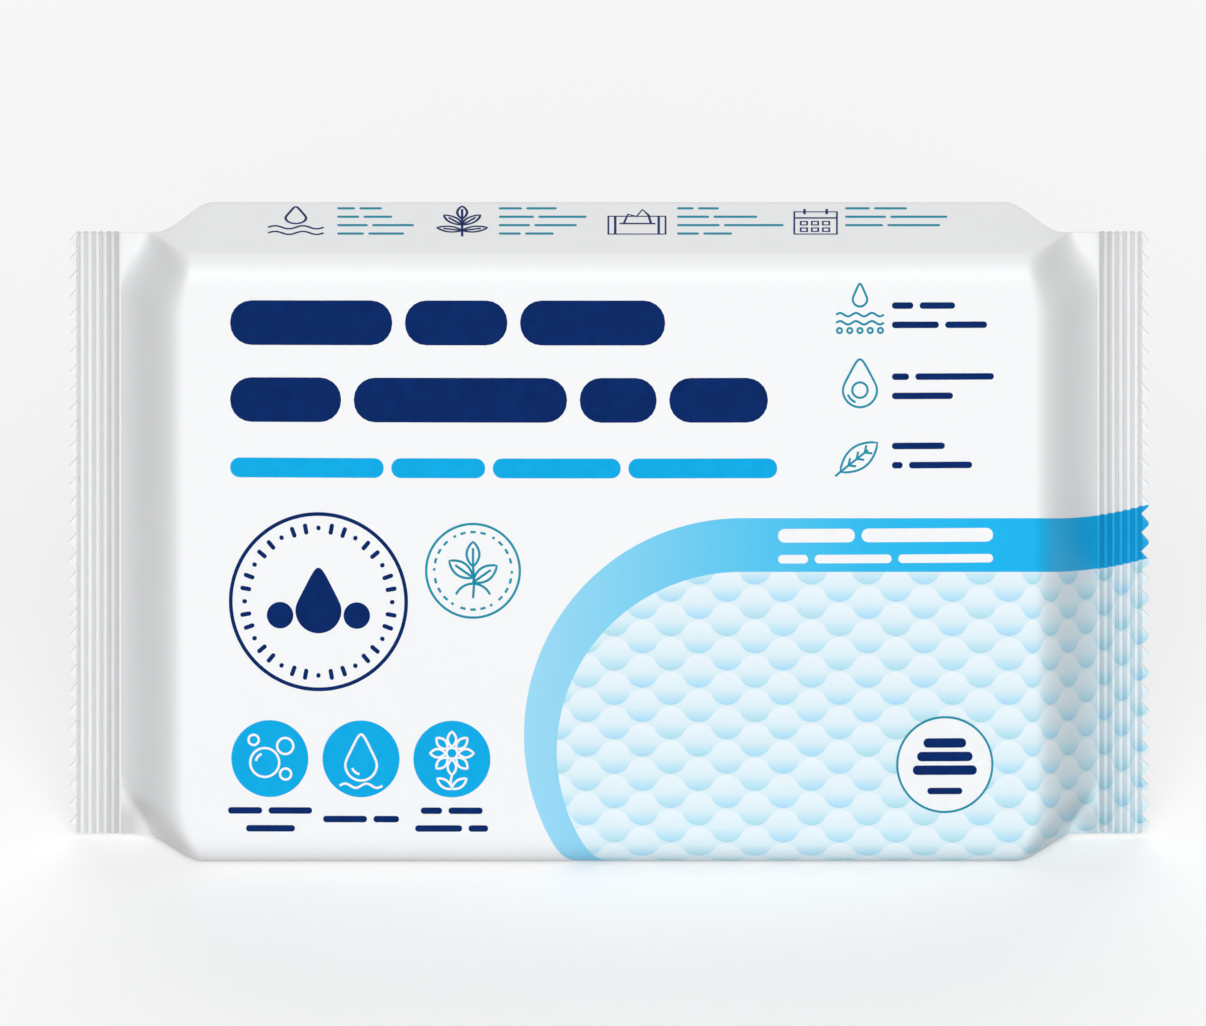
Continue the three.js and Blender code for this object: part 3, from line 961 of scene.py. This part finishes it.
def make_world():
    """An even white tent, with dark flags to the left and right that give the ends their depth."""
    world = bpy.data.worlds.new("studio_tent")
    bpy.context.scene.world = world
    world.use_nodes = True
    tree = world.node_tree
    tree.nodes.clear()
    sideways = add(tree, "SeparateXYZ", {0: add(tree, "TexCoord").outputs["Generated"]})
    sideways = add(tree, "Math", {0: sideways.outputs[0]}, operation="ABSOLUTE")
    tent = add(tree, "MapRange", {"Value": sideways, "From Min": FLAG_EDGES[0],
                                  "From Max": FLAG_EDGES[1], "To Min": AMBIENT,
                                  "To Max": AMBIENT * (1 - FLAG_DARKNESS)},
               interpolation_type="SMOOTHSTEP")
    strength = add(tree, "MapRange", {"Value": background_rays(tree), "To Min": tent,
                                      "To Max": BACKGROUND})
    light = add(tree, "Background", {"Color": (1, 1, 1, 1), "Strength": strength})
    add(tree, "OutputWorld", {"Surface": light})


def make_lights():
    """A broad key from the front and a weak light from behind, both as soft as a hazy sun."""
    for name, side, (rise, strength) in (("key", -1, KEY), ("rear", 1, REAR)):
        rise = math.radians(rise)
        source = Vector((0, side * math.cos(rise), math.sin(rise)))
        bpy.ops.object.light_add(type="SUN", location=source * LAMP_DISTANCE)
        lamp = bpy.context.active_object
        lamp.name = name + "_light"
        lamp.data.energy = strength * math.pi
        lamp.data.angle = math.radians(LAMP_SOFTNESS)
        lamp.rotation_euler = source.to_track_quat("Z", "Y").to_euler()


def make_camera():
    """A parallel view from the photograph's angle, framed as the photograph is."""
    data = bpy.data.cameras.new("camera")
    camera = bpy.data.objects.new("camera", data)
    bpy.context.scene.collection.objects.link(camera)
    data.type = "ORTHO"
    data.ortho_scale = PHOTO_WIDTH / PIXELS_PER_MM * MM
    ahead = Vector((0, math.cos(VIEW_DOWN), -math.sin(VIEW_DOWN)))
    up = Vector((0, math.sin(VIEW_DOWN), math.cos(VIEW_DOWN)))
    panel_foot = Vector((0, -HALF_DEPTH * MM, 0))
    right_of_pack = (PHOTO_WIDTH / 2 - PACK_MIDDLE_PIXEL) / PIXELS_PER_MM * MM
    above_floor = (FLOOR_PIXEL - PHOTO_HEIGHT / 2) / PIXELS_PER_MM * MM
    target = panel_foot + Vector((right_of_pack, 0, 0)) + up * above_floor
    camera.location = target - ahead * CAMERA_DISTANCE
    camera.rotation_euler = ahead.to_track_quat("-Z", "Y").to_euler()
    bpy.context.scene.camera = camera


make_camera()
make_lights()
make_world()
make_stage()

film = make_film_material()
inks = {
    "print_navy": make_ink("navy_gravure_ink", "#0B2C6C", "#08275F"),
    "print_sky": make_ink("sky_gravure_ink", "#12AEE8", "#0FA8E2"),
    "print_teal": make_ink("teal_gravure_ink", "#1F96AE", "#1B8FA8"),
    "print_white": make_ink("white_gravure_ink", "#F7F8F8", "#F3F5F6"),
}
make_print(inks)
for shell in (make_film_wrapper(), make_end_seal("left_end_seal", -1),
              make_end_seal("right_end_seal", 1)):
    shell.data.materials.clear()
    shell.data.materials.append(film)
    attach(shell, "root")
    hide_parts("wipes_pack")

bpy.context.scene.view_settings.view_transform = "Standard"
